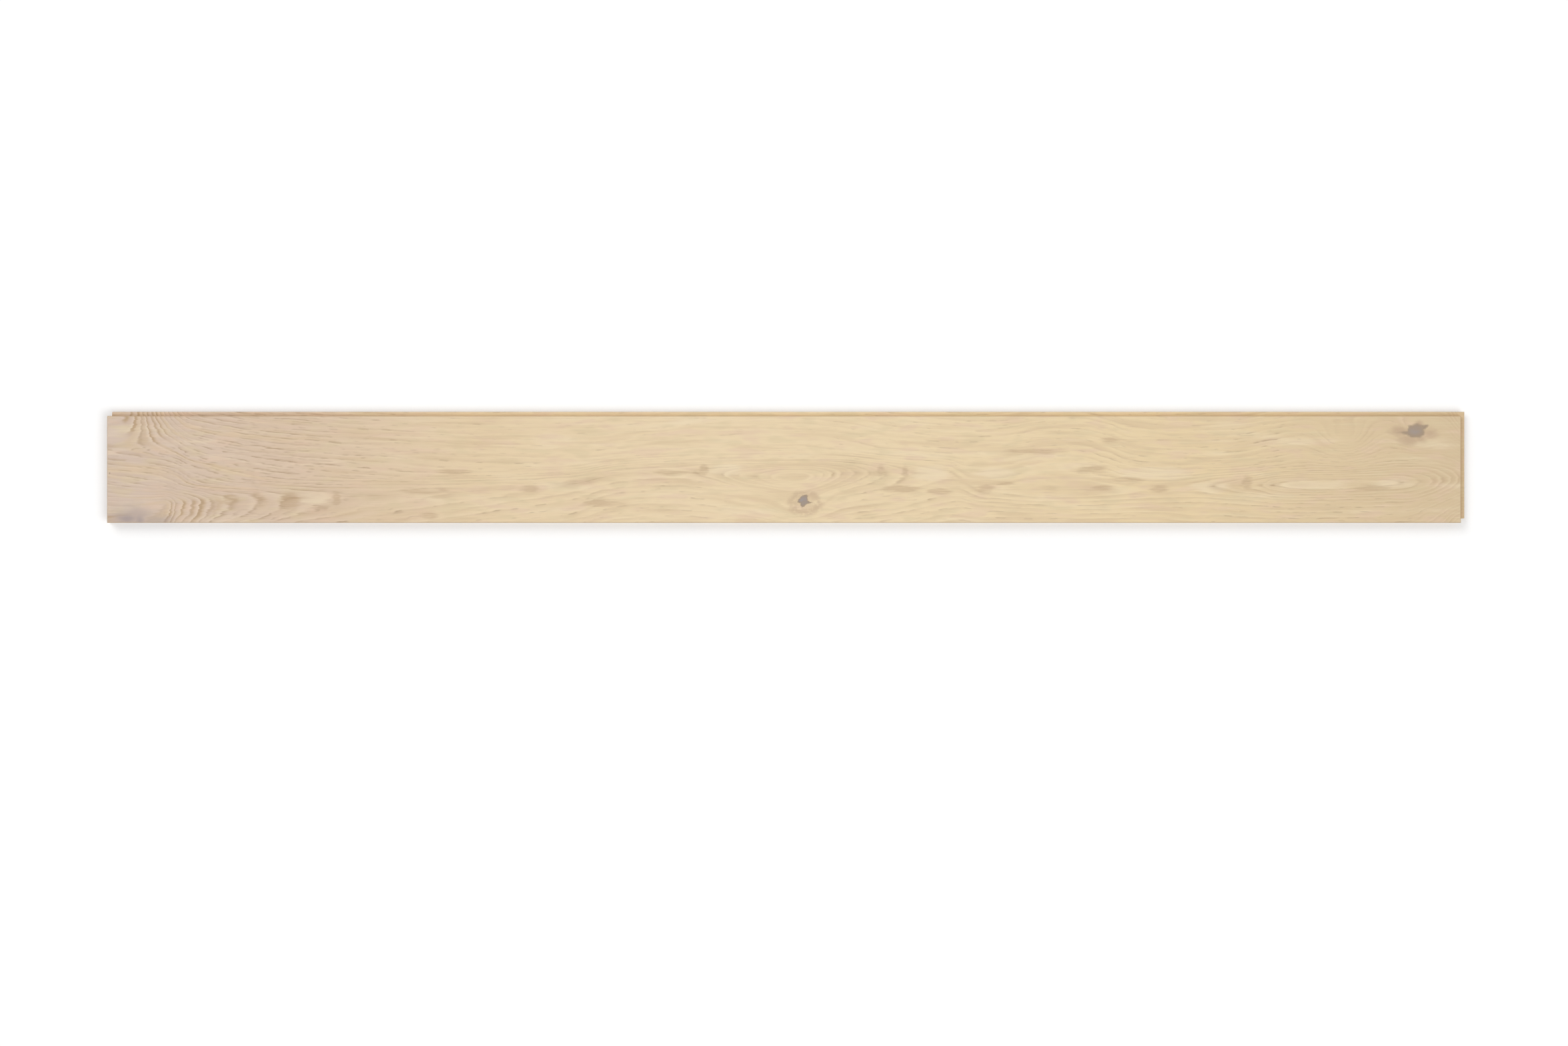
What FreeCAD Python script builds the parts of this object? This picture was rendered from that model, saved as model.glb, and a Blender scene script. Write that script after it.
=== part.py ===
# Wide plank floorboard, one solid oak board laid face up.
# The long edges are moulded with a tongue and a groove, the ends are matched in the same way,
# the face has a small bevel all round, and relief grooves run along the back.
# Millimetres. Origin: middle of the laid area, on the underside.
# +X runs along the board to the tongue end, +Y across it to the tongue edge, +Z up to the face.

import FreeCAD
import Part
import os

# Laid size of the board: what shows once its neighbours are fitted
FACE_LENGTH = 1900.0
FACE_WIDTH = 150.0
THICKNESS = 18.0
FACE_BEVEL = 1.0

# Tongue and groove, the same on the long edges and on the ends
FACE_LIP = 6.5
TONGUE_THICKNESS = 5.8
TONGUE_LENGTH = 6.0
TONGUE_NOSE_ROUND = 1.6
GROOVE_CORNER_ROUND = 0.8
GROOVE_LEAD_IN = 0.7
CHEEK_CLEARANCE = 0.1
TIP_CLEARANCE = 0.5
BACK_SETBACK = 0.5

# Relief grooves along the back, which keep a wide board from cupping
RELIEF_COUNT = 6
RELIEF_WIDTH = 5.0
RELIEF_DEPTH = 3.5
RELIEF_CORNER_ROUND = 1.5
RELIEF_EDGE_MARGIN = 20.0

# Rough length left on each end of the moulding, which the end cutters take off
END_TRIM = 5.0

# Heights that both halves of the joint share
GROOVE_TOP = THICKNESS - FACE_LIP
TONGUE_TOP = GROOVE_TOP - CHEEK_CLEARANCE
TONGUE_BOTTOM = TONGUE_TOP - TONGUE_THICKNESS
GROOVE_BOTTOM = TONGUE_BOTTOM - CHEEK_CLEARANCE
GROOVE_DEPTH = TONGUE_LENGTH + TIP_CLEARANCE


def tongue_edge():
    """Outline of a tongued edge from the back to the face, as (outward, height, round) corners."""
    return [
        (-BACK_SETBACK, 0, 0),
        (-BACK_SETBACK, TONGUE_BOTTOM, 0),
        (TONGUE_LENGTH, TONGUE_BOTTOM, TONGUE_NOSE_ROUND),
        (TONGUE_LENGTH, TONGUE_TOP, TONGUE_NOSE_ROUND),
        (0, TONGUE_TOP, 0),
        (0, THICKNESS - FACE_BEVEL, 0),
        (-FACE_BEVEL, THICKNESS, 0),
    ]


def groove_edge():
    """Outline of a grooved edge from the back to the face, as (outward, height, round) corners."""
    return [
        (-BACK_SETBACK, 0, 0),
        (-BACK_SETBACK, GROOVE_BOTTOM - GROOVE_LEAD_IN, 0),
        (-BACK_SETBACK - GROOVE_LEAD_IN, GROOVE_BOTTOM, 0),
        (-GROOVE_DEPTH, GROOVE_BOTTOM, GROOVE_CORNER_ROUND),
        (-GROOVE_DEPTH, GROOVE_TOP, GROOVE_CORNER_ROUND),
        (0, GROOVE_TOP, 0),
        (0, THICKNESS - FACE_BEVEL, 0),
        (-FACE_BEVEL, THICKNESS, 0),
    ]


def relief_grooves():
    """Outline of the back from the groove edge to the tongue edge, as (across, height, round) corners."""
    first = -FACE_WIDTH / 2 + RELIEF_EDGE_MARGIN
    pitch = (FACE_WIDTH - 2 * RELIEF_EDGE_MARGIN - RELIEF_WIDTH) / (RELIEF_COUNT - 1)
    corners = []
    for index in range(RELIEF_COUNT):
        near = first + index * pitch
        far = near + RELIEF_WIDTH
        corners += [
            (near, 0, 0),
            (near, RELIEF_DEPTH, RELIEF_CORNER_ROUND),
            (far, RELIEF_DEPTH, RELIEF_CORNER_ROUND),
            (far, 0, 0),
        ]
    return corners


def rounded_face(corners, place):
    """Flat face inside the closed outline of corners. A square corner with a round gets a quarter circle."""
    points = [place(along, height) for along, height, _ in corners]
    rounds = [corner_round for _, _, corner_round in corners]
    edges = []
    trimmed = []
    for index, corner in enumerate(points):
        before = (points[index - 1] - corner).normalize()
        after = (points[(index + 1) % len(points)] - corner).normalize()
        start = corner + before * rounds[index]
        end = corner + after * rounds[index]
        trimmed.append((start, end))
        if rounds[index] > 0:
            centre = start + end - corner
            middle = centre + (corner - centre).normalize() * rounds[index]
            edges.append(Part.Arc(start, middle, end).toShape())
    for index, (_, end) in enumerate(trimmed):
        next_start = trimmed[(index + 1) % len(trimmed)][0]
        edges.append(Part.LineSegment(end, next_start).toShape())
    return Part.Face(Part.Wire(Part.__sortEdges__(edges)))


def moulded_length():
    """The board as it leaves the moulder: its full section, a little over length at both ends."""
    tongue_side = [(FACE_WIDTH / 2 + out, height, r) for out, height, r in tongue_edge()]
    groove_side = [(-FACE_WIDTH / 2 - out, height, r) for out, height, r in groove_edge()]
    section = relief_grooves() + tongue_side + groove_side[::-1]
    start = -FACE_LENGTH / 2 - END_TRIM
    end = FACE_LENGTH / 2 + TONGUE_LENGTH + END_TRIM
    face = rounded_face(section, lambda across, height: FreeCAD.Vector(start, across, height))
    return face.extrude(FreeCAD.Vector(end - start, 0, 0))


def end_waste(edge, outward):
    """What an end cutter takes off: all that lies outside the edge outline, right across the board."""
    beyond = TONGUE_LENGTH + 2 * END_TRIM
    below = (edge[0][0], -END_TRIM, 0)
    above = (edge[-1][0], THICKNESS + END_TRIM, 0)
    outline = [below] + edge + [above, (beyond, THICKNESS + END_TRIM, 0), (beyond, -END_TRIM, 0)]
    start = -FACE_WIDTH / 2 - END_TRIM
    end = FACE_WIDTH / 2 + TONGUE_LENGTH + END_TRIM

    def place(out, height):
        return FreeCAD.Vector(outward * (FACE_LENGTH / 2 + out), start, height)

    return rounded_face(outline, place).extrude(FreeCAD.Vector(0, end - start, 0))


def floorboard():
    """The finished board, matched at both ends."""
    board = moulded_length()
    board = board.cut(end_waste(tongue_edge(), 1))
    board = board.cut(end_waste(groove_edge(), -1))
    return board.removeSplitter().Solids[0]


os.makedirs("parts", exist_ok=True)
board = floorboard()
board.exportStep("parts/oak_floorboard.step")
box = board.BoundBox
print("valid", board.isValid(), "solids", len(board.Solids), "volume cm3", round(board.Volume / 1000, 1))
print("x", box.XMin, box.XMax, "y", box.YMin, box.YMax, "z", box.ZMin, box.ZMax)
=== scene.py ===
import math

import bmesh
import bpy
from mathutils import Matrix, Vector


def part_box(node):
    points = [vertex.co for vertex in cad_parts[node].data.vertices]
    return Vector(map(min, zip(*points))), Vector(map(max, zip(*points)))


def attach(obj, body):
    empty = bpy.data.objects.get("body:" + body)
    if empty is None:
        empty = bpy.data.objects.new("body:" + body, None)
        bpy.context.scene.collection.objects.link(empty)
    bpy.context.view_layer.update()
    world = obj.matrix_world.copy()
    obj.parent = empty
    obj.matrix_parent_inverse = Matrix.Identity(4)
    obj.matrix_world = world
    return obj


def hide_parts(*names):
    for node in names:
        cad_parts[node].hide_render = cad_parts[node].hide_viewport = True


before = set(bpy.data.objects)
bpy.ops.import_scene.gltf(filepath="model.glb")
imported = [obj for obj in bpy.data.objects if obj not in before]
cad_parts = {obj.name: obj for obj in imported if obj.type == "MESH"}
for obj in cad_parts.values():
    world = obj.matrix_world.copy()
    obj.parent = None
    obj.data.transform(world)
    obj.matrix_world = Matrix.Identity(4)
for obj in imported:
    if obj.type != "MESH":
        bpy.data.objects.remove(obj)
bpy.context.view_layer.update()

# Wide plank floorboard of pale oak, lying face up and seen from straight above.
# Metres for the mesh and millimetres for the grain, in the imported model's own frame.

MM = 0.001
X, Y, Z = 0, 1, 2
BOARD = "oak_floorboard"
low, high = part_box(BOARD)

# Laid size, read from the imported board: its face is centred on the origin
HALF_LENGTH = -low.x
HALF_WIDTH = -low.y
THICKNESS = high.z
TONGUE_LENGTH = high.x + low.x
FACE_BEVEL = 1.0 * MM

# Tongue and groove, the same on the long edges and on the ends
FACE_LIP = 6.5 * MM
TONGUE_THICKNESS = 5.8 * MM
TONGUE_NOSE_ROUND = 1.6 * MM
GROOVE_CORNER_ROUND = 0.8 * MM
GROOVE_LEAD_IN = 0.7 * MM
CHEEK_CLEARANCE = 0.1 * MM
TIP_CLEARANCE = 0.5 * MM
BACK_SETBACK = 0.5 * MM
GROOVE_TOP = THICKNESS - FACE_LIP
TONGUE_TOP = GROOVE_TOP - CHEEK_CLEARANCE
TONGUE_BOTTOM = TONGUE_TOP - TONGUE_THICKNESS
GROOVE_BOTTOM = TONGUE_BOTTOM - CHEEK_CLEARANCE
GROOVE_DEPTH = TONGUE_LENGTH + TIP_CLEARANCE
JOINT_MIDDLE = (TONGUE_TOP + TONGUE_BOTTOM) / 2

# Relief grooves along the back
RELIEF_COUNT = 6
RELIEF_WIDTH = 5.0 * MM
RELIEF_DEPTH = 3.5 * MM
RELIEF_CORNER_ROUND = 1.5 * MM
RELIEF_EDGE_MARGIN = 20.0 * MM

# How far a cutter runs past the wood that it cuts, and the steps of its rounded edges
OVERRUN = 2.0 * MM
NOSE_STEPS = 5
CORNER_STEPS = 4

# Places this close count as one, and points this close are merged
CLOSE = 0.02 * MM
MERGE_DISTANCE = 0.001 * MM
# Faces that meet at less than this are one face, or are shaded as one
FLAT_ANGLE = math.radians(0.5)
SMOOTH_ANGLE = math.radians(30)
# A face looks up, down or towards an end when that part of its normal is larger than this
LOOKS_UP = 0.5
LOOKS_DOWN = 0.9
LOOKS_ENDWAYS = 0.7

# Cells of the face along and across the board, as the subdivisions that make them
LENGTH_CELLS = (23, 20)
WIDTH_CELLS = (20, 10)

# Depth of the open grain and of the dead knots, and how far in from the bevel it is reached, in millimetres
GRAIN_DEPTH = 0.06
KNOT_DEPTH = 0.15
RELIEF_FADE = 4.0

# Growth rings of the face, in millimetres along the board from its middle.
# The cathedral's axis across the board, and the growth ring met at each place on it
HEART_AXIS = [
    (-950, -66), (-900, -60), (-828, -47), (-700, -40), (-620, -38), (-455, -31), (-300, -20),
    (-160, -4), (0, -10), (120, -4), (225, -6), (290, -28), (400, -28), (520, -28), (612, -23),
    (750, -21), (880, -17), (950, -12),
]
HEART_RINGS = [
    (-950, 0.2), (-873, 1), (-856, 3), (-832, 5), (-820, 6), (-806, 7), (-779, 8), (-738, 9),
    (-700, 10), (-631, 11), (-455, 12), (-335, 13), (-160, 13.6), (-113, 13), (-82, 12), (-59, 11),
    (-31, 10), (-14, 9), (8, 8.4), (39, 9), (53, 10), (66, 11), (79, 12), (95, 13), (114, 14),
    (138, 15), (168, 16), (237, 17), (256, 17.2), (272, 17), (390, 16.3), (500, 17), (525, 17.1),
    (550, 17), (612, 16), (647, 15), (673, 14), (690, 13), (760, 12.4), (850, 12.9), (888, 14),
    (909, 15), (921, 16), (935, 17), (945, 18), (950, 18.5),
]
# The ring away from the axis towards the groove edge, and the ring met on a line near the tongue edge
LOWER_RINGS = [
    (-950, 0.2), (-873, 1.5), (-856, 3.2), (-832, 5), (-806, 6.8), (-779, 7.8), (-738, 8.9),
    (-700, 9.9), (-631, 11), (-455, 13.2), (-300, 14.6), (-190, 15.2), (-100, 15), (60, 14.7),
    (225, 17.5), (290, 19.8), (520, 19.6), (612, 18.5), (750, 17.8), (860, 17.7), (900, 19.2), (950, 25),
]
FAR_RINGS = [
    (-950, 16.2), (-873, 17.2), (-828, 19.3), (-786, 20.5), (-716, 21.9), (-646, 22.7), (-570, 23.3),
    (-406, 24.2), (-336, 24.2), (-190, 23.2), (-100, 22.3), (0, 22.2), (65, 22.8), (173, 25),
    (284, 25.6), (389, 24.1), (450, 25.2), (500, 27), (570, 27.5), (628, 27.3), (680, 26.3),
    (771, 24.5), (860, 24), (910, 25), (950, 30),
]
FAR_LINE = 50.0
UPPER_SIDE = (-15, 30)
# How far to each side of the axis its own rings reach
HEART_REACH = [
    (-950, 34), (-873, 22), (-800, 17), (-600, 17), (-160, 18), (0, 20), (250, 19), (400, 24),
    (520, 20), (750, 19), (900, 26), (950, 40),
]
RING_PITCH = 6.3
PITH_DEPTH = 45.0
# At the groove end the rings hook up to the tongue edge
HOOK_RINGS = 11.0
HOOK_ALONG = (-835, -930)
HOOK_ACROSS = (15, 95)
# Hills and hollows that the knots make in the rings, as (centre, size, rings)
RING_HILLS = [((24, -52), (40, 20), -3.0), ((788, 42), (40, 30), 5.5), ((887, 50), (26, 22), 4.5)]

# How plainly the grain shows along the board, from 0 to 1, and where its lines reach full strength
GRAIN_STRENGTH = [
    (-950, 0.9), (-720, 0.92), (-640, 0.78), (-560, 0.62), (-420, 0.5), (-160, 0.5), (20, 0.46),
    (110, 0.58), (180, 0.52), (300, 0.55), (480, 0.52), (570, 0.5), (720, 0.62), (820, 0.6),
    (880, 0.5), (950, 0.38),
]
FULL_STRENGTH = 0.65
# Calm spots of the face where the grain fades, as (centre, size, how much of it goes)
CALM_SPOTS = [
    ((-936, 52), (22, 20), 0.95), ((48, -52), (34, 16), 0.9), ((-20, -42), (62, 16), 0.8),
    ((885, 53), (34, 15), 0.9), ((790, 54), (72, 28), 0.8), ((-100, 50), (300, 38), 0.4),
    ((330, -5), (160, 60), 0.3), ((-908, -48), (52, 34), 0.85), ((262, -16), (24, 12), 0.8),
    ((536, -27), (44, 9), 0.8), ((10, -32), (90, 13), 0.6), ((15, -10), (40, 10), 0.4),
    ((930, 48), (30, 30), 0.5), ((-868, 62), (44, 26), 0.55), ((-858, -55), (36, 24), 0.45),
]
# Steps along and across the board over which the slope of the rings is taken
STEP_ALONG = (3, 0, 0)
STEP_ACROSS = (0, 1, 0)
# A line turns, or is a tip, by how far it leans: 0 along the board and 1 straight across it
TURN_LEAN = (0.4, 0.95)
TIP_LEAN = (0.5, 0.97)
HEART_TURN = 0.65
# How many rings the slow, middle and fine noise moves the lines, and how ragged it makes the calm spots
WANDER_RINGS = 0.6
RIPPLE_RINGS = 0.5
FIBRE_RINGS = 0.45
CALM_RAGGED = 0.8

# Lines of early wood, in rings: their width from calm to plain grain and what a turn adds to it,
# and how soon they reach full depth, from straight grain to a turn
LINE_WIDTH = (0.12, 0.26)
TURN_WIDTH = 0.1
LINE_RISE = (0.1, 0.24)
# Gaps in a line: where noise ends it and lets it show whole, how plain grain moves that noise,
# and how whole a line stays at a turn, from calm to plain grain
LINE_GAPS = (0.44, 0.6)
PLAIN_LEVEL = 0.8
PLAIN_LIFT = 0.32
TURN_WHOLE = (-0.35, 0.85)
# Each year has its own gaps and its own strength
YEARS_APART = 7.3
YEAR_STRENGTH = (0.6, 1.05)
# Fainter lines between them: how far they are moved, how much more noise they need to show, and
# their strength from straight grain to a turn
BETWEEN_SHIFT = 0.47
BETWEEN_GAPS = 0.06
BETWEEN_STRENGTH = (0.7, 0.0)
# Soft bands behind the lines: their width, where they begin from calm to plain grain, and their
# strength from straight grain to a turn
BAND_WIDTH = 0.5
BAND_START = (0.38, 0.12)
BAND_STRENGTH = (0.4, 0.75)

# Noise in the wood, as (size of its lumps along, across and through the board, detail, seed)
WANDER = ((150, 26, 26), 2.0, 5.9)
RIPPLE = ((60, 7, 7), 1.0, 3.7)
FIBRE = ((20, 2.4, 2.4), 1.0, 1.3)
GAP_NOISE = ((19, 9, 1), 1.0, 6.1)
BETWEEN_NOISE = ((19, 9, 1), 1.0, 11.4)
DASHES = ((14, 1.2, 1.2), 1.0, 9.2)
PORES = ((16, 0.9, 0.9), 0.0, 2.6)
FIBRE_RELIEF = ((30, 0.9, 0.9), 2.0, 6.5)
PATCHES = ((130, 20, 20), 3.0, 4.4)
BLUSH = ((46, 13, 13), 1.0, 9.6)
STREAKS = ((70, 2.0, 2.0), 1.0, 8.8)
RAGGED = ((3.6, 3.0, 40), 2.0, 3.1)
UNEVEN = ((7, 5, 40), 2.0, 1.9)
SOFT = ((16, 8, 40), 3.0, 7.7)
DRAWN_OUT = ((30, 5, 40), 3.0, 2.9)
SMUDGE_STREAKS = ((24, 1.4, 40), 2.0, 5.3)
# Noise that runs along the rings, as (millimetres along the board, rings across, seed)
BAND_LUMPS = (60, 0.9, 4.9)
TAN_LUMPS = (110, 1.1, 8.3)
# Where the noise of the pores leaves closed wood, and where it is a whole pore
PORE_EDGE = (0.68, 0.76)

# Dead knots. Each outline runs anticlockwise and is convex, so a knot is a few of them
MIDDLE_KNOT = [
    [(18.4, -46.4), (21.6, -47.2), (33, -46.4), (33.4, -36.4), (31, -35.6), (25.8, -36.6), (19.8, -42)],
    [(25.4, -54), (28, -52.6), (32.6, -47.4), (32, -43), (23, -43), (23.4, -50)],
    [(30, -48.6), (34.4, -47.8), (39.4, -46.8), (37, -45.6), (32, -43.6)],
]
END_KNOT = [
    [(873.6, 51), (874.6, 47.4), (881, 45), (892, 45), (898.4, 48), (898.6, 57), (894, 62.4),
     (888, 64.4), (876, 60.8)],
    [(890, 62.8), (897.6, 54), (904.6, 62), (903, 63)],
    [(861.6, 51.8), (874, 48.6), (878, 49), (878, 55), (873, 54)],
]
# How softly an outline's corners, a knot's outlines and neighbouring spots run into each other
CORNER_BLEND = 0.8
OUTLINE_BLEND = 1.2
SPOT_BLEND = 0.3
# How far noise moves each knot's edge, and where wood begins to be knot and is all knot there
MIDDLE_KNOT_RAGGED = 3.4
MIDDLE_KNOT_EDGE = (0.9, -0.9)
END_KNOT_RAGGED = 4.0
END_KNOT_EDGE = (1.8, -2.2)
# Grey hearts of the knots, and where they begin and are full
MIDDLE_KNOT_HEART = ((26.4, -42.6), (8, 7))
MIDDLE_HEART_EDGE = (0, -1.6)
END_KNOT_HEART = ((885.5, 53.4), (9.5, 7))
END_HEART_EDGE = (0, -3)
END_HEART_SHARE = 0.6
# The ring of brown wood round the middle knot, and the brown smudges round the end one
MIDDLE_KNOT_RING = ((29.5, -48), (23, 17))
END_KNOT_SMUDGES = [
    ((864, 53.2), (15, 8)), ((870, 52), (9, 6)), ((907, 50), (12, 7)), ((893, 42.5), (10, 6)),
    ((891, 64.5), (6, 5)), ((878, 41), (19, 8)),
]
# Soft brown smudges where the rings run flat to the face
SMUDGES = [
    ((-778, -42), (8, 7)), ((-775, -42), (10, 5)), ((-739, -38), (8, 6)), ((-736, -39), (9, 5)),
    ((-694, -45), (13, 10)), ((-628, -41), (6, 10)), ((-505, -31), (34, 3.5)), ((-498, -65), (12, 6)),
    ((-464, -3), (25, 3)), ((-358, -28), (14, 6)), ((-256, -47), (24, 6)), ((-162, -5), (22, 4)),
    ((-112, 0), (6, 7)), ((136, -2), (6, 7)), ((170, -3), (5, 7)), ((162, -28), (30, 5)),
    ((215, -31), (16, 4)), ((284, -28), (12, 6)), ((312, -19), (17, 3)), ((358, 25), (38, 4)),
    ((430, 0), (22, 5)), ((449, -26), (16, 4)), ((458, 41), (12, 4)), ((483, -15), (22, 4)),
    ((527, -27), (13, 5)), ((650, -18), (7, 8)), ((824, -27), (26, 5)),
]
# Pale wood inside closed rings
PALE_SPOTS = [
    ((738, -22), (62, 7)), ((858, -20), (28, 6)), ((600, -25), (26, 9)), ((518, -6), (52, 9)),
    ((300, -5), (30, 8)), ((205, -5), (26, 10)), ((-81, -1), (22, 9)), ((-661, -40), (24, 9)),
]
# Grey stain in the corner, the haze round it, and a small dark speck at the end
CORNER_STAIN = [((-923, -69.5), (10, 4)), ((-904, -73), (5, 6))]
STAIN_SHARE = 0.45
STAIN_HAZE = [((-914, -66), (32, 17)), ((-880, -73), (24, 10))]
HAZE_SHARE = 0.6
SPECK = ((-946.2, -5.4), (0.7, 1.1))

# Screen colours of the oak, as (share of the length from the groove end, colour)
PALE_OAK = [
    (0.0, (209, 188, 172)), (0.14, (215, 191, 167)), (0.27, (228, 205, 168)), (0.42, (233, 211, 174)),
    (0.62, (233, 211, 172)), (0.8, (230, 207, 165)), (1.0, (210, 187, 151)),
]
EARLY_WOOD = (173, 147, 118)
BAND_BROWN = (190, 162, 129)
PORE_BROWN = (188, 163, 132)
PINK_PATCH = (222, 192, 168)
OLIVE_PATCH = (214, 196, 158)
WARM_PATCH = (214, 189, 153)
PALE_PATCH = (238, 221, 190)
# Brown of the bevel: lacquer pooled there, and painted shade of a joint between boards
EDGE_LACQUER_AND_SHADE_BROWN = (190, 160, 120)
KNOT_GREY = (155, 146, 144)
KNOT_EDGE = (162, 141, 117)
KNOT_BROWN = (190, 163, 134)
STAIN_GREY = (164, 149, 146)
# Brown on the face's edge, partly lacquer pooled in the bevel and partly painted shade of a joint between
# boards, in millimetres in from it and above the foot of the bevel
EDGE_SHADE_IN = (1.4, 0.4)
EDGE_SHADE_UP = (-0.3, 0.1)

# Finishes, as (name, tint, roughness of closed and of open wood, height of the fibres)
LACQUERED = ("lacquered oak", (255, 255, 255), (0.46, 0.62), 0.15 * MM)
PLANED = ("planed oak", (255, 250, 240), (0.72, 0.85), 0.2 * MM)
SAWN = ("sawn oak", (240, 222, 196), (0.85, 0.95), 0.3 * MM)
TINT_SHARE = 0.6
FIBRE_BUMP = 0.2
OPEN_PORES = 0.5

# White floor, even light all round and two soft lamps, as (name, place that it shines from, strength)
FLOOR_SIZE = 60
FLOOR_GREY = 0.8
FLOOR_GLOW = 0.25
WORLD_LIGHT = 0.5
WORLD_SEEN = 1.0
LAMPS = [("left light", (-2.2, 2.4, 3.2), 1.04), ("right light", (2.2, -1.6, 3.4), 0.97)]
LAMP_SOFTNESS = math.radians(35)

# Frame of the photograph in pixels, and where the board lies in it
PHOTO_WIDTH = 2351
PHOTO_HEIGHT = 1568
BOARD_MIDDLE_PIXEL = (1175.5, 703.6)
BOARD_LENGTH_PIXELS = 2030
CAMERA_HEIGHT = 6.0
SENSOR_WIDTH = 36.0

# Sockets of the node groups
VALUE = "NodeSocketFloat"
COLOUR = "NodeSocketColor"
SHAPE = "NodeSocketGeometry"
PLACE = {"Place": "NodeSocketVector"}


def paint(red, green, blue):
    """A screen colour from 0 to 255 as the linear colour that a socket takes."""
    linear = []
    for share in (red / 255, green / 255, blue / 255):
        linear.append(share / 12.92 if share <= 0.04045 else ((share + 0.055) / 1.055) ** 2.4)
    return (*linear, 1.0)


class Sheet:
    """A node tree with short ways to add nodes. An input takes a plain value or another node's output."""

    def __init__(self, tree):
        self.tree = tree

    def node(self, kind, inputs=None, **settings):
        added = self.tree.nodes.new(kind)
        for name, value in settings.items():
            setattr(added, name, value)
        for name, value in (inputs or {}).items():
            self.feed(added.inputs[name], value)
        return added

    def feed(self, socket, value):
        if isinstance(value, bpy.types.NodeSocket):
            self.tree.links.new(value, socket)
        else:
            socket.default_value = value

    def math(self, operation, *values, clamp=False):
        added = self.node("ShaderNodeMath", operation=operation, use_clamp=clamp)
        for socket, value in zip(added.inputs, values):
            self.feed(socket, value)
        return added.outputs[0]

    def minus(self, first, second):
        return self.math("SUBTRACT", first, second)

    def over(self, first, second):
        return self.math("DIVIDE", first, second)

    def times(self, first, *others):
        for other in others:
            first = self.math("MULTIPLY", first, other)
        return first

    def most(self, first, *others):
        for other in others:
            first = self.math("MAXIMUM", first, other)
        return first

    def add(self, base, value, weight=1.0):
        """The base and the weighted value together."""
        return self.math("MULTIPLY_ADD", value, weight, base)

    def between(self, start, end, share):
        """From start, where the share is 0, to end, where it is 1."""
        return self.math("MULTIPLY_ADD", share, end - start, start)

    def vector(self, operation, *values):
        added = self.node("ShaderNodeVectorMath", operation=operation)
        for socket, value in zip(added.inputs, values):
            self.feed(socket, value)
        return added.outputs["Value" if operation in ("LENGTH", "DOT_PRODUCT") else "Vector"]

    def scaled(self, vector, factor):
        added = self.node("ShaderNodeVectorMath", operation="SCALE")
        self.feed(added.inputs[0], vector)
        self.feed(added.inputs["Scale"], factor)
        return added.outputs["Vector"]

    def parts(self, vector):
        return self.node("ShaderNodeSeparateXYZ", {"Vector": vector}).outputs

    def joined(self, along, across, up):
        return self.node("ShaderNodeCombineXYZ", {"X": along, "Y": across, "Z": up}).outputs[0]

    def ease(self, value, start, end):
        """0 at start, 1 at end and smooth between them."""
        added = self.node("ShaderNodeMapRange", interpolation_type="SMOOTHSTEP")
        self.feed(added.inputs["Value"], value)
        self.feed(added.inputs["From Min"], start)
        self.feed(added.inputs["From Max"], end)
        return added.outputs[0]

    def curve(self, along, points):
        """A smooth curve through points of (millimetres along the board, value)."""
        values = [value for _, value in points]
        lowest, span = min(values), max(values) - min(values)
        start, length = points[0][0], points[-1][0] - points[0][0]
        share = self.math("DIVIDE", self.minus(along, start), length, clamp=True)
        added = self.node("ShaderNodeFloatCurve", {"Value": share})
        line = added.mapping.curves[0]
        while len(line.points) < len(points):
            line.points.new(0.5, 0.5)
        for point, (place, value) in zip(line.points, points):
            point.location = ((place - start) / length, (value - lowest) / span)
            point.handle_type = "AUTO_CLAMPED"
        added.mapping.update()
        return self.math("MULTIPLY_ADD", added.outputs[0], span, lowest)

    def ramp(self, share, colours):
        """A run of screen colours, each given as (share, colour)."""
        added = self.node("ShaderNodeValToRGB", {"Fac": share})
        stops = added.color_ramp.elements
        while len(stops) < len(colours):
            stops.new(0.5)
        for stop, (position, colour) in zip(stops, colours):
            stop.position = position
            stop.color = paint(*colour)
        return added.outputs["Color"]

    def noise(self, place, lumps, detail, seed):
        """Noise from 0 to 1 whose lumps have that size in millimetres along, across and through."""
        shares = tuple(1 / size for size in lumps)
        moved = self.vector("MULTIPLY_ADD", place, shares, (seed, seed, seed))
        added = self.node("ShaderNodeTexNoise", {"Vector": moved, "Scale": 1.0, "Detail": detail})
        return added.outputs[0]

    def swing(self, place, lumps, detail, seed):
        """The same noise as a swing to either side of 0."""
        return self.minus(self.noise(place, lumps, detail, seed), 0.5)

    def mix(self, factor, first, second, blend="MIX"):
        added = self.node("ShaderNodeMix", data_type="RGBA", blend_type=blend)
        self.feed(added.inputs[0], factor)
        self.feed(added.inputs[6], first)
        self.feed(added.inputs[7], second)
        return added.outputs[2]

    def group(self, tree, inputs):
        kind = "ShaderNodeGroup" if self.tree.bl_idname == "ShaderNodeTree" else "GeometryNodeGroup"
        added = self.node(kind, node_tree=tree)
        for name, value in inputs.items():
            self.feed(added.inputs[name], value)
        return added.outputs


def new_group(name, kind, inputs, outputs):
    """An empty node group with those sockets: its sheet, what comes in and what goes out."""
    tree = bpy.data.node_groups.new(name, kind)
    for label, socket in inputs.items():
        tree.interface.new_socket(label, in_out="INPUT", socket_type=socket)
    for label, socket in outputs.items():
        tree.interface.new_socket(label, in_out="OUTPUT", socket_type=socket)
    sheet = Sheet(tree)
    return sheet, sheet.node("NodeGroupInput").outputs, sheet.node("NodeGroupOutput").inputs


# Grain, the same for the colours and for the relief


def blot(sheet, place, centre, size):
    """Distance from a spot on the face in sizes of that spot: under 1 inside it, whatever the height."""
    moved = sheet.vector("SUBTRACT", place, (*centre, 0))
    return sheet.vector("LENGTH", sheet.vector("MULTIPLY", moved, (1 / size[0], 1 / size[1], 0)))


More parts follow.
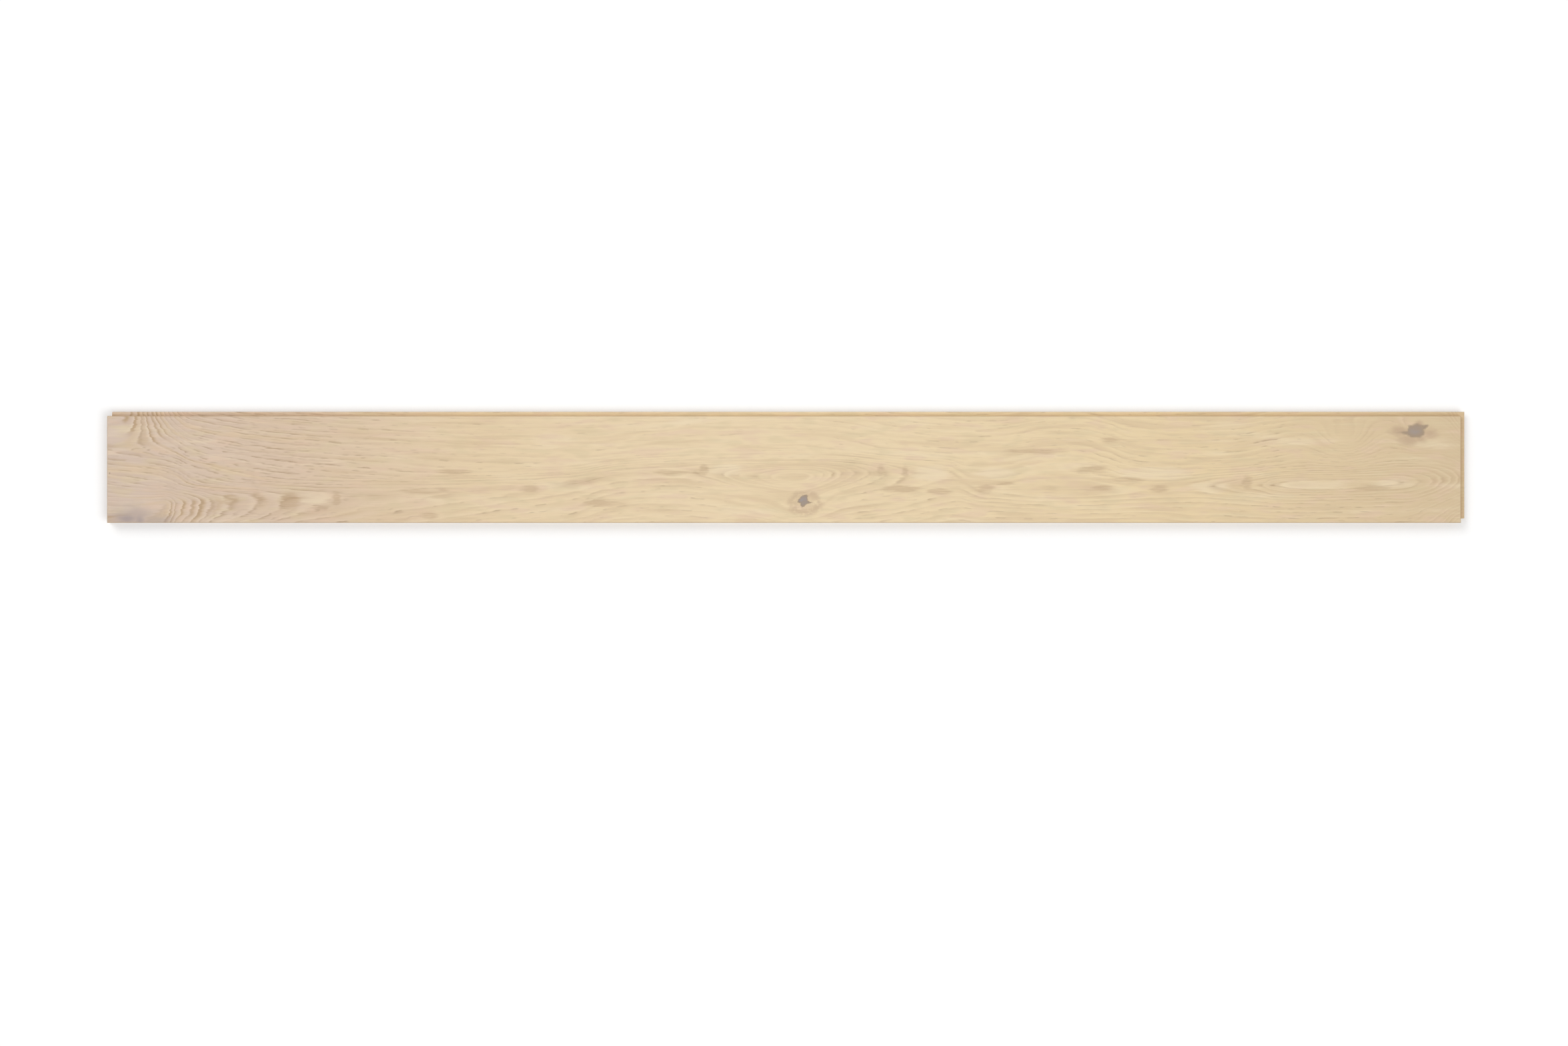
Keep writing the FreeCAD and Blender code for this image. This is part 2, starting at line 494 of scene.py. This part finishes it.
def outside(sheet, place, outlines):
    """Millimetres outside the nearest of the outlines, and less than 0 inside it."""
    found = None
    for corners in outlines:
        distance = None
        for start, end in zip(corners, corners[1:] + corners[:1]):
            side = Vector(end) - Vector(start)
            outward = Vector((side.y, -side.x)).normalized()
            reach = sheet.vector("DOT_PRODUCT", place, (*outward, 0))
            reach = sheet.minus(reach, outward.dot(start))
            distance = sheet.math("SMOOTH_MAX", distance, reach, CORNER_BLEND) if distance else reach
        found = sheet.math("SMOOTH_MIN", found, distance, OUTLINE_BLEND) if found else distance
    return found


def nearest(sheet, place, spots):
    """Distance from the nearest of the spots, in its own sizes."""
    found = None
    for spot in spots:
        distance = blot(sheet, place, *spot)
        found = sheet.math("SMOOTH_MIN", found, distance, SPOT_BLEND) if found else distance
    return found


def bell(sheet, share):
    """1 where the share is 0, falling smoothly to nothing at about 2 on either side."""
    return sheet.math("EXPONENT", sheet.times(share, share, -1.0))


def from_edge(sheet, along, across):
    """Millimetres in from the nearest edge of the face."""
    to_end = sheet.minus(HALF_LENGTH / MM, sheet.math("ABSOLUTE", along))
    to_side = sheet.minus(HALF_WIDTH / MM, sheet.math("ABSOLUTE", across))
    return sheet.math("MINIMUM", to_end, to_side)


def loose_pores(sheet, place):
    """Short fine pores, all over the wood."""
    return sheet.ease(sheet.noise(place, *PORES), *PORE_EDGE)


def growth_rings(kind):
    """Which growth ring a place in the wood lies in, and how near it is to the heart's axis."""
    sheet, given, result = new_group("growth rings", kind, PLACE, dict.fromkeys(("Ring", "Crown"), VALUE))
    place = given["Place"]
    along, across, up = sheet.parts(place)

    def spread(offset, rise):
        """Rings counted straight out from the pith, which runs under the board."""
        radius = sheet.math("SQRT", sheet.add(sheet.times(rise, rise), offset, offset))
        return sheet.over(sheet.minus(radius, PITH_DEPTH), RING_PITCH)

    axis = sheet.curve(along, HEART_AXIS)
    offset = sheet.minus(across, axis)
    lower = sheet.curve(along, LOWER_RINGS)
    at_far_line = spread(sheet.minus(FAR_LINE, axis), PITH_DEPTH)
    upper = sheet.minus(sheet.curve(along, FAR_RINGS), at_far_line)
    outer = sheet.add(lower, sheet.minus(upper, lower), sheet.ease(offset, *UPPER_SIDE))
    lead = sheet.minus(sheet.curve(along, HEART_RINGS), outer)
    crown = bell(sheet, sheet.over(offset, sheet.curve(along, HEART_REACH)))
    ring = sheet.add(outer, lead, crown)
    rise = sheet.minus(up, THICKNESS / MM - PITH_DEPTH)
    ring = sheet.add(ring, spread(offset, rise))
    hook = sheet.times(sheet.ease(along, *HOOK_ALONG), sheet.ease(across, *HOOK_ACROSS))
    ring = sheet.add(ring, hook, -HOOK_RINGS)
    for centre, size, rings in RING_HILLS:
        ring = sheet.add(ring, bell(sheet, blot(sheet, place, centre, size)), rings)
    sheet.feed(result["Ring"], ring)
    sheet.feed(result["Crown"], crown)
    return sheet.tree


def knots(kind):
    """Masks of the dead knots and their grey hearts, the brown and pale wood, and the grey stain."""
    masks = ("Dead", "Grey", "Brown", "Smudge", "Pale", "Stain")
    sheet, given, result = new_group("knots", kind, PLACE, dict.fromkeys(masks, VALUE))
    place = given["Place"]
    ragged = sheet.swing(place, *RAGGED)
    uneven = sheet.swing(place, *UNEVEN)
    soft = sheet.swing(place, *SOFT)
    drawn_out = sheet.swing(place, *DRAWN_OUT)

    # Dead wood, ragged at the middle knot and hazy at the end one, and grey where it is deepest
    crisp = sheet.add(outside(sheet, place, MIDDLE_KNOT), ragged, MIDDLE_KNOT_RAGGED)
    hazy = sheet.add(outside(sheet, place, END_KNOT), uneven, END_KNOT_RAGGED)
    speck = sheet.ease(blot(sheet, place, *SPECK), 1.2, 0.8)
    dead = sheet.most(sheet.ease(crisp, *MIDDLE_KNOT_EDGE), sheet.ease(hazy, *END_KNOT_EDGE), speck)
    sheet.feed(result["Dead"], dead)
    middle_heart = bell(sheet, blot(sheet, place, *MIDDLE_KNOT_HEART))
    middle_heart = sheet.times(middle_heart, sheet.ease(crisp, *MIDDLE_HEART_EDGE))
    end_heart = bell(sheet, blot(sheet, place, *END_KNOT_HEART))
    end_heart = sheet.times(end_heart, sheet.ease(hazy, *END_HEART_EDGE), END_HEART_SHARE)
    mottled = sheet.between(0.5, 1.0, sheet.ease(uneven, -0.16, 0.12))
    sheet.feed(result["Grey"], sheet.times(sheet.most(middle_heart, end_heart), mottled))

    # Brown wood round the knots
    ring = sheet.add(blot(sheet, place, *MIDDLE_KNOT_RING), soft, 0.5)
    band = sheet.between(0.4, 0.65, sheet.ease(ring, 0.4, 0.85))
    band = sheet.times(band, sheet.ease(ring, 1.25, 0.85), sheet.ease(uneven, -0.3, 0.1))
    haze = sheet.add(nearest(sheet, place, END_KNOT_SMUDGES), soft, 1.2)
    sheet.feed(result["Brown"], sheet.most(band, sheet.ease(haze, 1.5, 0.2)))

    # Brown and pale patches of the rings, drawn out along the board
    smudge = sheet.add(nearest(sheet, place, SMUDGES), drawn_out, 1.8)
    streaks = sheet.ease(sheet.noise(place, *SMUDGE_STREAKS), 0.34, 0.58)
    streaks = sheet.between(0.4, 1.0, streaks)
    sheet.feed(result["Smudge"], sheet.times(sheet.ease(smudge, 1.4, 0.5), streaks))
    pale = sheet.add(nearest(sheet, place, PALE_SPOTS), drawn_out, 1.4)
    sheet.feed(result["Pale"], sheet.ease(pale, 1.3, 0.6))

    # Grey stain
    stain = sheet.add(nearest(sheet, place, CORNER_STAIN), soft, 0.9)
    cloud = sheet.add(nearest(sheet, place, STAIN_HAZE), soft, 0.7)
    cloud = sheet.times(sheet.ease(cloud, 1.5, 0.2), HAZE_SHARE)
    sheet.feed(result["Stain"], sheet.add(cloud, sheet.ease(stain, 1.8, 0.2), STAIN_SHARE))
    return sheet.tree


def grain(kind, rings):
    """Open early wood at the start of each ring, broken into dashes, with a soft brown band behind it."""
    masks = ("Early", "Band", "Late", "Pores", "Tan", "Furrow")
    sheet, given, result = new_group("grain", kind, PLACE, dict.fromkeys(masks, VALUE))
    place = given["Place"]
    along, across, up = sheet.parts(place)
    here = sheet.group(rings, {"Place": place})

    def slope(step):
        """Rings gained for each millimetre in the direction of the step."""
        ahead = sheet.group(rings, {"Place": sheet.vector("ADD", place, step)})
        return sheet.over(sheet.minus(ahead["Ring"], here["Ring"]), Vector(step).length)

    # Where the rings turn across the board
    run = slope(STEP_ALONG)
    climb = slope(STEP_ACROSS)
    steep = sheet.math("SQRT", sheet.add(sheet.times(climb, climb), run, run))
    lean = sheet.over(sheet.math("ABSOLUTE", run), steep)
    tip = sheet.ease(lean, *TIP_LEAN)
    turn = sheet.most(sheet.ease(lean, *TURN_LEAN), sheet.times(here["Crown"], HEART_TURN))

    # How plainly the grain shows, and the rings with the unevenness of real wood
    wander = sheet.swing(place, *WANDER)
    ripple = sheet.swing(place, *RIPPLE)
    fibre = sheet.swing(place, *FIBRE)
    plain = sheet.curve(along, GRAIN_STRENGTH)
    shown = plain
    for centre, size, amount in CALM_SPOTS:
        faded = bell(sheet, sheet.add(blot(sheet, place, centre, size), wander, CALM_RAGGED))
        shown = sheet.times(shown, sheet.between(1.0, 1.0 - amount, faded))
    strength = sheet.ease(shown, 0.0, FULL_STRENGTH)
    ring = sheet.add(here["Ring"], wander, WANDER_RINGS)
    ring = sheet.add(ring, ripple, RIPPLE_RINGS)
    ring = sheet.add(ring, sheet.times(fibre, plain), FIBRE_RINGS)

    def follow(length, rings_wide, seed):
        """Noise that runs along the rings, in lumps of that length and so many rings across."""
        lane = sheet.joined(along, sheet.over(ring, rings_wide), up)
        return sheet.noise(lane, (length, 1, length), 1.0, seed)

    def strokes(shift, gaps, fewer):
        """Lines where each ring starts: a quick rise, a slow fall, and no gaps where the rings turn."""
        count = sheet.math("ADD", ring, shift)
        year = sheet.math("FLOOR", count)
        season = sheet.minus(count, year)
        width = sheet.add(sheet.between(*LINE_WIDTH, plain), turn, TURN_WIDTH)
        rise = sheet.between(*LINE_RISE, turn)
        line = sheet.times(sheet.ease(season, 0.0, rise), bell(sheet, sheet.over(season, width)))
        own_gaps = sheet.joined(along, across, sheet.times(year, YEARS_APART))
        dashed = sheet.add(sheet.noise(own_gaps, *gaps), sheet.minus(shown, PLAIN_LEVEL), PLAIN_LIFT)
        dashed = sheet.ease(dashed, LINE_GAPS[0] + fewer, LINE_GAPS[1] + fewer)
        whole = sheet.between(*TURN_WHOLE, plain)
        kept = sheet.add(dashed, turn, sheet.minus(whole, dashed))
        chance = sheet.node("ShaderNodeTexWhiteNoise", {"W": year}, noise_dimensions="1D")
        good_year = sheet.between(*YEAR_STRENGTH, chance.outputs["Value"])
        return season, sheet.times(line, kept, good_year, strength)

    # Lines of early wood, with fainter ones between them where the rings run straight
    season, lines = strokes(0.0, GAP_NOISE, 0.0)
    _, between = strokes(BETWEEN_SHIFT, BETWEEN_NOISE, BETWEEN_GAPS)
    lines = sheet.most(lines, sheet.times(between, sheet.between(*BETWEEN_STRENGTH, turn)))
    sheet.feed(result["Furrow"], lines)
    dashes = sheet.ease(sheet.noise(place, *DASHES), 0.36, 0.54)
    early = sheet.math("MULTIPLY", lines, sheet.between(0.5, 1.0, dashes), clamp=True)
    sheet.feed(result["Early"], early)

    # Soft bands behind the lines, strongest at the tips
    uneven = sheet.add(sheet.ease(follow(*BAND_LUMPS), 0.4, 0.62), turn, 0.3)
    uneven = sheet.times(sheet.between(0.1, 1.0, uneven), strength)
    start = sheet.between(*BAND_START, plain)
    band = sheet.times(bell(sheet, sheet.over(season, BAND_WIDTH)), sheet.ease(season, 0.0, start))
    broad = sheet.add(sheet.between(*BAND_STRENGTH, turn), tip, plain)
    sheet.feed(result["Band"], sheet.times(band, broad, uneven))
    sheet.feed(result["Late"], sheet.times(sheet.ease(season, 0.6, 0.95), uneven))
    sheet.feed(result["Pores"], loose_pores(sheet, place))
    sheet.feed(result["Tan"], sheet.ease(follow(*TAN_LUMPS), 0.5, 0.72))
    return sheet.tree


def oak_colour(grain_group, knot_group):
    """Colour of the bare oak at a place in the wood, and how open its pores are there."""
    outputs = {"Colour": COLOUR, "Open": VALUE}
    sheet, given, result = new_group("oak colour", "ShaderNodeTree", PLACE, outputs)
    place = given["Place"]
    along, across, up = sheet.parts(place)
    figure = sheet.group(grain_group, {"Place": place})
    marks = sheet.group(knot_group, {"Place": place})
    above_bevel = sheet.minus(up, (THICKNESS - FACE_BEVEL) / MM)
    # The bevel browned: partly pooled lacquer, partly painted shade of a joint between boards
    edge_lacquer_and_shade = sheet.ease(from_edge(sheet, along, across), *EDGE_SHADE_IN)
    edge_lacquer_and_shade = sheet.times(edge_lacquer_and_shade, sheet.ease(above_bevel, *EDGE_SHADE_UP))
    patches = sheet.noise(place, *PATCHES)
    blush = sheet.noise(place, *BLUSH)
    streaks = sheet.noise(place, *STREAKS)
    # Each layer as (mask, share at its strongest, colour), from the broad tones to the single marks
    layers = [
        (sheet.ease(patches, 0.5, 0.75), 0.4, WARM_PATCH),
        (sheet.ease(patches, 0.46, 0.25), 0.4, PALE_PATCH),
        (sheet.ease(blush, 0.52, 0.7), 0.4, PINK_PATCH),
        (sheet.ease(blush, 0.48, 0.3), 0.4, OLIVE_PATCH),
        (figure["Tan"], 0.5, WARM_PATCH),
        (sheet.ease(streaks, 0.56, 0.76), 0.1, PORE_BROWN),
        (sheet.ease(streaks, 0.44, 0.24), 0.2, PALE_PATCH),
        (marks["Pale"], 0.4, PALE_PATCH),
        (figure["Late"], 0.16, PALE_PATCH),
        (figure["Band"], 0.8, BAND_BROWN),
        (figure["Pores"], 0.16, PORE_BROWN),
        (marks["Smudge"], 0.6, BAND_BROWN),
        (marks["Brown"], 0.8, KNOT_BROWN),
        (figure["Early"], 1.0, EARLY_WOOD),
        (marks["Stain"], 0.85, STAIN_GREY),
        (marks["Dead"], 1.0, KNOT_EDGE),
        (marks["Grey"], 1.0, KNOT_GREY),
        # painted joint shade and pooled lacquer on the bevel
        (edge_lacquer_and_shade, 0.55, EDGE_LACQUER_AND_SHADE_BROWN),
    ]
    colour = sheet.ramp(sheet.math("MULTIPLY_ADD", along, MM / 2 / HALF_LENGTH, 0.5), PALE_OAK)
    for mask, share, layer in layers:
        colour = sheet.mix(sheet.times(mask, share), colour, paint(*layer))
    sheet.feed(result["Colour"], colour)
    sheet.feed(result["Open"], sheet.most(figure["Early"], sheet.times(figure["Pores"], OPEN_PORES)))
    return sheet.tree


def oak_material(colour_group, name, tint, roughness, relief):
    """Oak with its own tint and finish: colour and roughness follow the grain, the bump its fibres."""
    material = bpy.data.materials.new(name)
    material.use_nodes = True
    sheet = Sheet(material.node_tree)
    shader = sheet.tree.nodes["Principled BSDF"]
    place = sheet.scaled(sheet.node("ShaderNodeTexCoord").outputs["Object"], 1 / MM)
    oak = sheet.group(colour_group, {"Place": place})
    tinted = sheet.mix(TINT_SHARE, oak["Colour"], paint(*tint), blend="MULTIPLY")
    sheet.feed(shader.inputs["Base Color"], tinted)
    sheet.feed(shader.inputs["Roughness"], sheet.between(*roughness, oak["Open"]))
    lift = sheet.add(sheet.noise(place, *FIBRE_RELIEF), loose_pores(sheet, place), -OPEN_PORES)
    bump = sheet.node("ShaderNodeBump", {"Strength": FIBRE_BUMP, "Distance": relief, "Height": lift})
    sheet.feed(shader.inputs["Normal"], bump.outputs["Normal"])
    return material


# Shape of the board


def pick(block):
    """Selects the block alone and makes it the active one."""
    bpy.ops.object.select_all(action="DESELECT")
    block.select_set(True)
    bpy.context.view_layer.objects.active = block


def add_block(name, corner, opposite):
    """A box between two corners, alone selected, with its place in its mesh."""
    bpy.ops.object.select_all(action="DESELECT")
    corner, opposite = Vector(corner), Vector(opposite)
    bpy.ops.mesh.primitive_cube_add(size=1, location=(corner + opposite) / 2, scale=opposite - corner)
    block = bpy.context.active_object
    block.name = name
    bpy.ops.object.transform_apply(location=True, rotation=True, scale=True)
    return block


def edit(block, edges=None, faces=None):
    """Opens the block for editing with those edges or faces selected, each told by its own test."""
    pick(block)
    bpy.ops.object.mode_set(mode="EDIT")
    bpy.ops.mesh.select_mode(type="EDGE" if edges else "FACE")
    bpy.ops.mesh.select_all(action="DESELECT")
    shape = bmesh.from_edit_mesh(block.data)
    for part in shape.edges if edges else shape.faces:
        part.select_set((edges or faces)(part))
    bmesh.update_edit_mesh(block.data)


def done():
    bpy.ops.object.mode_set(mode="OBJECT")


def near(value, wanted):
    return abs(value - wanted) < CLOSE


def lies_at(edge, axis, wanted):
    """Whether both ends of the edge are at that place on the axis."""
    return all(near(vertex.co[axis], wanted) for vertex in edge.verts)


def runs_across(edge, axis):
    """Whether both ends of the edge are at one place on the axis."""
    start, end = edge.verts
    return near(start.co[axis], end.co[axis])


def every_face(face):
    return True


def combine(board, tool, operation):
    """Adds the tool to the board or cuts it out, and takes the tool away."""
    pick(board)
    joined = board.modifiers.new(tool.name, "BOOLEAN")
    joined.operation = operation
    joined.solver = "EXACT"
    joined.object = tool
    bpy.ops.object.modifier_apply(modifier=joined.name)
    bpy.data.objects.remove(tool)


def plank_blank():
    """The board without its joints: a full-size face over a back that stands in a little all round."""
    corner = (-HALF_LENGTH, -HALF_WIDTH, JOINT_MIDDLE)
    board = add_block("floorboard", corner, (HALF_LENGTH, HALF_WIDTH, THICKNESS))
    edit(board, faces=lambda face: -face.normal.z > LOOKS_DOWN)
    bpy.ops.mesh.inset(thickness=BACK_SETBACK, use_even_offset=True)
    bpy.ops.mesh.extrude_region_move(TRANSFORM_OT_translate={"value": (0, 0, -JOINT_MIDDLE)})
    done()
    edit(board, edges=lambda edge: lies_at(edge, Z, THICKNESS))
    bpy.ops.mesh.bevel(offset=FACE_BEVEL, segments=1, affect="EDGES")
    done()
    return board


def tongue_tool():
    """A slab through the board whose tongue stands out on the +Y edge and the +X end."""
    inside = (-HALF_LENGTH + OVERRUN, -HALF_WIDTH + OVERRUN, TONGUE_BOTTOM)
    tip = (HALF_LENGTH + TONGUE_LENGTH, HALF_WIDTH + TONGUE_LENGTH, TONGUE_TOP)
    slab = add_block("tongue", inside, tip)

    def on_the_nose(edge):
        return runs_across(edge, Z) and (lies_at(edge, X, tip[X]) or lies_at(edge, Y, tip[Y]))

    edit(slab, edges=on_the_nose)
    bpy.ops.mesh.bevel(offset=TONGUE_NOSE_ROUND, segments=NOSE_STEPS, affect="EDGES")
    done()
    return slab


def groove_tool(name, half_run):
    """Cutter for a groove along X, its mouth on the plane y = 0, with a lead-in under the mouth."""
    lead_in_depth = BACK_SETBACK + GROOVE_LEAD_IN
    cutter = add_block(name, (-half_run, -OVERRUN, GROOVE_BOTTOM), (half_run, GROOVE_DEPTH, GROOVE_TOP))
    edit(cutter, faces=every_face)
    bpy.ops.mesh.bisect(plane_co=(0, lead_in_depth, 0), plane_no=(0, 1, 0))
    done()
    edit(cutter, edges=lambda edge: lies_at(edge, Y, -OVERRUN) and lies_at(edge, Z, GROOVE_BOTTOM))
    bpy.ops.transform.translate(value=(0, 0, -(OVERRUN + lead_in_depth)))
    done()
    edit(cutter, edges=lambda edge: lies_at(edge, Y, GROOVE_DEPTH) and not runs_across(edge, X))
    bpy.ops.mesh.bevel(offset=GROOVE_CORNER_ROUND, segments=CORNER_STEPS, affect="EDGES")
    done()
    return cutter


def relief_tool():
    """Cutters for the grooves along the back: one modelled, the others copied across the board."""
    half_run = HALF_LENGTH + TONGUE_LENGTH + OVERRUN
    first = -HALF_WIDTH + RELIEF_EDGE_MARGIN
    pitch = (2 * HALF_WIDTH - 2 * RELIEF_EDGE_MARGIN - RELIEF_WIDTH) / (RELIEF_COUNT - 1)
    corner = (-half_run, first, -OVERRUN)
    cutter = add_block("relief", corner, (half_run, first + RELIEF_WIDTH, RELIEF_DEPTH))
    edit(cutter, edges=lambda edge: lies_at(edge, Z, RELIEF_DEPTH) and not runs_across(edge, X))
    bpy.ops.mesh.bevel(offset=RELIEF_CORNER_ROUND, segments=CORNER_STEPS, affect="EDGES")
    done()
    copies = cutter.modifiers.new("across the back", "ARRAY")
    copies.count = RELIEF_COUNT
    copies.use_relative_offset = False
    copies.use_constant_offset = True
    copies.constant_offset_displace = (0, pitch, 0)
    bpy.ops.object.modifier_apply(modifier=copies.name)
    return cutter


def divide_face(board):
    """Divides the flat face into fine cells, longer along the grain than across it."""
    side_of_face = HALF_WIDTH - FACE_BEVEL

    def long_edge(edge):
        on_side = lies_at(edge, Y, side_of_face) or lies_at(edge, Y, -side_of_face)
        return on_side and lies_at(edge, Z, THICKNESS)

    def rung(edge):
        return lies_at(edge, Z, THICKNESS) and runs_across(edge, X)

    for test, steps in ((long_edge, LENGTH_CELLS), (rung, WIDTH_CELLS)):
        for cells in steps:
            edit(board, edges=test)
            bpy.ops.mesh.subdivide(number_cuts=cells - 1)
            done()


def floorboard():
    """The whole board: blank, tongue, grooves, relief grooves and divided face."""
    board = plank_blank()
    combine(board, tongue_tool(), "UNION")
    side_groove = groove_tool("side groove", HALF_LENGTH + TONGUE_LENGTH + OVERRUN)
    side_groove.location = (0, -HALF_WIDTH, 0)
    combine(board, side_groove, "DIFFERENCE")
    end_groove = groove_tool("end groove", HALF_WIDTH + TONGUE_LENGTH + OVERRUN)
    end_groove.location = (-HALF_LENGTH, 0, 0)
    end_groove.rotation_euler = (0, 0, -math.pi / 2)
    combine(board, end_groove, "DIFFERENCE")
    combine(board, relief_tool(), "DIFFERENCE")
    edit(board, faces=every_face)
    bpy.ops.mesh.remove_doubles(threshold=MERGE_DISTANCE)
    bpy.ops.mesh.dissolve_limited(angle_limit=FLAT_ANGLE)
    done()
    divide_face(board)
    return board


def brush_face(board, grain_group, knot_group):
    """Sinks the open grain and the dead knots a little into the face, and leaves its edges sharp."""
    shape = {"Board": SHAPE}
    sheet, given, result = new_group("brushed grain", "GeometryNodeTree", shape, shape)
    place = sheet.scaled(sheet.node("GeometryNodeInputPosition").outputs[0], 1 / MM)
    along, across, up = sheet.parts(place)
    figure = sheet.group(grain_group, {"Place": place})
    marks = sheet.group(knot_group, {"Place": place})
    depth = sheet.add(sheet.times(figure["Furrow"], GRAIN_DEPTH), marks["Dead"], KNOT_DEPTH)
    bevel = FACE_BEVEL / MM
    inside = sheet.ease(from_edge(sheet, along, across), bevel, bevel + RELIEF_FADE)
    moved = sheet.node("GeometryNodeSetPosition", {
        "Geometry": given["Board"],
        "Selection": sheet.math("GREATER_THAN", up, (THICKNESS - FACE_BEVEL / 2) / MM),
        "Offset": sheet.joined(0.0, 0.0, sheet.times(depth, inside, -MM)),
    })
    sheet.feed(result["Board"], moved.outputs[0])
    pick(board)
    brushed = board.modifiers.new("brushed grain", "NODES")
    brushed.node_group = sheet.tree
    bpy.ops.object.modifier_apply(modifier=brushed.name)


def finish_faces(board, lacquered, planed, sawn):
    """The lacquer is on the face and its bevel, the ends are sawn and the rest is planed."""
    for material in (lacquered, planed, sawn):
        board.data.materials.append(material)
    for part in board.data.polygons:
        if part.normal.z > LOOKS_UP and part.center.z > THICKNESS - FACE_BEVEL:
            part.material_index = 0
        else:
            part.material_index = 2 if abs(part.normal.x) > LOOKS_ENDWAYS else 1
    pick(board)
    bpy.ops.object.shade_smooth_by_angle(angle=SMOOTH_ANGLE)


# Floor, light and camera


def seen_directly(sheet):
    """1 for what the camera sees, straight, in a reflection or through glass."""
    seen = sheet.node("ShaderNodeLightPath").outputs
    return sheet.most(seen["Is Camera Ray"], seen["Is Glossy Ray"], seen["Is Transmission Ray"])


def white_floor():
    """A white floor that keeps the board's shadow."""
    bpy.ops.object.select_all(action="DESELECT")
    bpy.ops.mesh.primitive_plane_add(size=FLOOR_SIZE, location=(0, 0, 0))
    floor = bpy.context.active_object
    floor.name = "floor"
    material = bpy.data.materials.new("white floor")
    material.use_nodes = True
    sheet = Sheet(material.node_tree)
    shader = sheet.tree.nodes["Principled BSDF"]
    shader.inputs["Base Color"].default_value = (FLOOR_GREY, FLOOR_GREY, FLOOR_GREY, 1)
    shader.inputs["Roughness"].default_value = 1.0
    shader.inputs["Specular IOR Level"].default_value = 0.0
    shader.inputs["Emission Color"].default_value = (1, 1, 1, 1)
    sheet.feed(shader.inputs["Emission Strength"], sheet.times(seen_directly(sheet), FLOOR_GLOW))
    floor.data.materials.append(material)


def studio_light():
    """Even light all round, with a broad soft lamp high over each of two opposite corners."""
    world = bpy.data.worlds.new("studio")
    bpy.context.scene.world = world
    world.use_nodes = True
    sheet = Sheet(world.node_tree)
    background = sheet.tree.nodes["Background"]
    background.inputs["Color"].default_value = (1, 1, 1, 1)
    strength = sheet.between(WORLD_LIGHT, WORLD_SEEN, seen_directly(sheet))
    sheet.feed(background.inputs["Strength"], strength)
    for name, place, power in LAMPS:
        light = bpy.data.lights.new(name, "SUN")
        light.angle = LAMP_SOFTNESS
        light.energy = power
        lamp = bpy.data.objects.new(name, light)
        bpy.context.collection.objects.link(lamp)
        lamp.location = place
        lamp.rotation_euler = (-Vector(place)).to_track_quat("-Z", "Y").to_euler()


def overhead_camera():
    """Straight above the board, framed as in the photograph."""
    pixel = 2 * HALF_LENGTH / BOARD_LENGTH_PIXELS
    down = (BOARD_MIDDLE_PIXEL[1] - PHOTO_HEIGHT / 2) * pixel
    aside = (PHOTO_WIDTH / 2 - BOARD_MIDDLE_PIXEL[0]) * pixel
    lens = bpy.data.cameras.new("overhead")
    lens.sensor_width = SENSOR_WIDTH
    lens.lens = SENSOR_WIDTH * CAMERA_HEIGHT / (PHOTO_WIDTH * pixel)
    camera = bpy.data.objects.new("overhead", lens)
    bpy.context.collection.objects.link(camera)
    camera.location = (aside, down, THICKNESS + CAMERA_HEIGHT)
    bpy.context.scene.camera = camera


shader_grain = grain("ShaderNodeTree", growth_rings("ShaderNodeTree"))
shader_knots = knots("ShaderNodeTree")
relief_grain = grain("GeometryNodeTree", growth_rings("GeometryNodeTree"))
relief_knots = knots("GeometryNodeTree")
colours = oak_colour(shader_grain, shader_knots)

board = floorboard()
brush_face(board, relief_grain, relief_knots)
finish_faces(board, *(oak_material(colours, *finish) for finish in (LACQUERED, PLANED, SAWN)))
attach(board, "root")
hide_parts(BOARD)

white_floor()
studio_light()
overhead_camera()
bpy.context.scene.view_settings.view_transform = "Standard"
